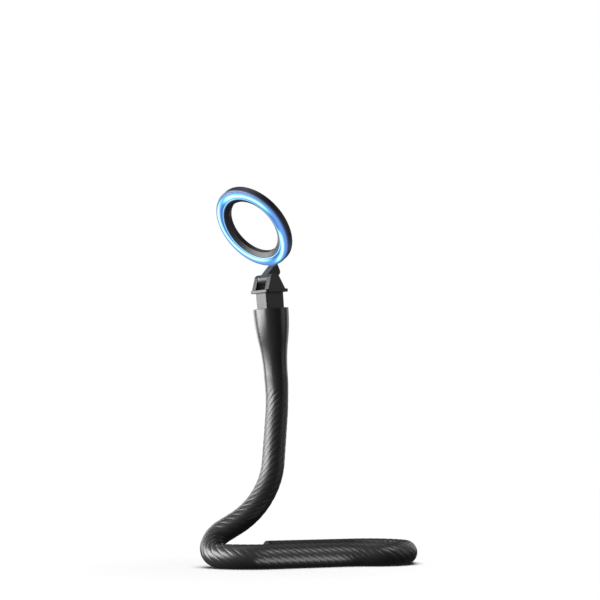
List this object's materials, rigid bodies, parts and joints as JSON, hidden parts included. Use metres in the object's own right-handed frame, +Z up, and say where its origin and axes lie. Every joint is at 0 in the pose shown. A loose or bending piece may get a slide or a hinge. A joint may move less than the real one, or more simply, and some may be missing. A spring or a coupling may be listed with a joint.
{
  "type": "magnetic ring phone stand",
  "caption": "Bendable gooseneck that folds into its own foot and holds a tilting magnetic ring with a luminous band.",
  "frame": {"origin": "centre of the bounding box's footprint, on the table", "axes": "+Z up the post, +X from the folded corner towards the loop of the foot, +Y away from the viewer of the ring's luminous face"},
  "size_m": [0.1461, 0.0944, 0.2532],
  "materials": {
    "sleeve_rubber": "satin moulded elastomer with a twill relief",
    "foam": "closed-cell foam",
    "core_aluminium": "drawn wire, bright",
    "moulded_black": "fine satin",
    "clevis_plastic": "fine satin",
    "screw_steel": "blackened",
    "insert_brass": "knurled",
    "washer_nylon": "moulded",
    "ring_plastic": "satin",
    "glow_band": "luminous, blue to cyan",
    "yoke_steel": "plated",
    "magnets": "nickel plated",
    "pad_silicone": "soft matte",
    "bush_acetal": "machined"
  },
  "bodies": {
    "foot": {"sleeve_front": "sleeve_rubber", "foam_front": "foam", "core_front": "core_aluminium"},
    "free_leg": {"sleeve_rear": "sleeve_rubber", "foam_rear": "foam", "core_rear": "core_aluminium", "sleeve_loop": "sleeve_rubber", "foam_loop": "foam", "core_loop": "core_aluminium", "end_plug": "moulded_black"},
    "riser": {"sleeve_riser": "sleeve_rubber", "foam_riser": "foam", "core_riser": "core_aluminium", "sleeve_corner": "sleeve_rubber", "foam_corner": "foam", "core_corner": "core_aluminium"},
    "post": {"sleeve_post": "sleeve_rubber", "foam_post": "foam", "core_post": "core_aluminium", "sleeve_knee": "sleeve_rubber", "foam_knee": "foam", "core_knee": "core_aluminium"},
    "crown": {"sleeve_crown": "sleeve_rubber", "foam_crown": "foam", "core_crown": "core_aluminium", "sleeve_top": "sleeve_rubber", "foam_top": "foam", "core_top": "core_aluminium", "neck_cap": "moulded_black", "core_ferrule": "core_aluminium", "clevis_adapter": "clevis_plastic", "hinge_screw": "screw_steel", "threaded_insert": "insert_brass", "friction_washers": "washer_nylon"},
    "head": {"ring_housing": "ring_plastic", "glow_band": "glow_band", "yoke_ring": "yoke_steel", "magnet_segments": "magnets", "front_cover": "ring_plastic", "grip_pad": "pad_silicone", "knuckle_bush": "bush_acetal"}
  },
  "joints": [
    {"name": "loop_bend", "type": "hinge", "parent": "foot", "child": "free_leg", "pos_m": [0.05231, 0.03207, 0.00775], "axis": [0, 0, 1], "range_deg": [-12, 14], "deforming": ["sleeve_loop", "foam_loop", "core_loop"]},
    {"name": "corner_bend", "type": "hinge", "parent": "foot", "child": "riser", "pos_m": [-0.06297, -0.02303, 0.01395], "axis": [0.0494, -0.9988, 0], "range_deg": [-15, 30], "deforming": ["sleeve_corner", "foam_corner", "core_corner"]},
    {"name": "knee_bend", "type": "hinge", "parent": "riser", "child": "post", "pos_m": [-0.02784, -0.00985, 0.05791], "axis": [-0.0325, -0.9737, 0.2254], "range_deg": [-25, 25], "deforming": ["sleeve_knee", "foam_knee", "core_knee"]},
    {"name": "top_bend", "type": "hinge", "parent": "post", "child": "crown", "pos_m": [-0.02353, 0.00092, 0.11207], "axis": [-0.0101, 0.9918, 0.1276], "range_deg": [-25, 25], "deforming": ["sleeve_top", "foam_top", "core_top"]},
    {"name": "head_tilt", "type": "hinge", "parent": "crown", "child": "head", "pos_m": [-0.03097, -0.00959, 0.19355], "axis": [0.6907, -0.7221, -0.0387], "range_deg": [-55, 85]}
  ]
}
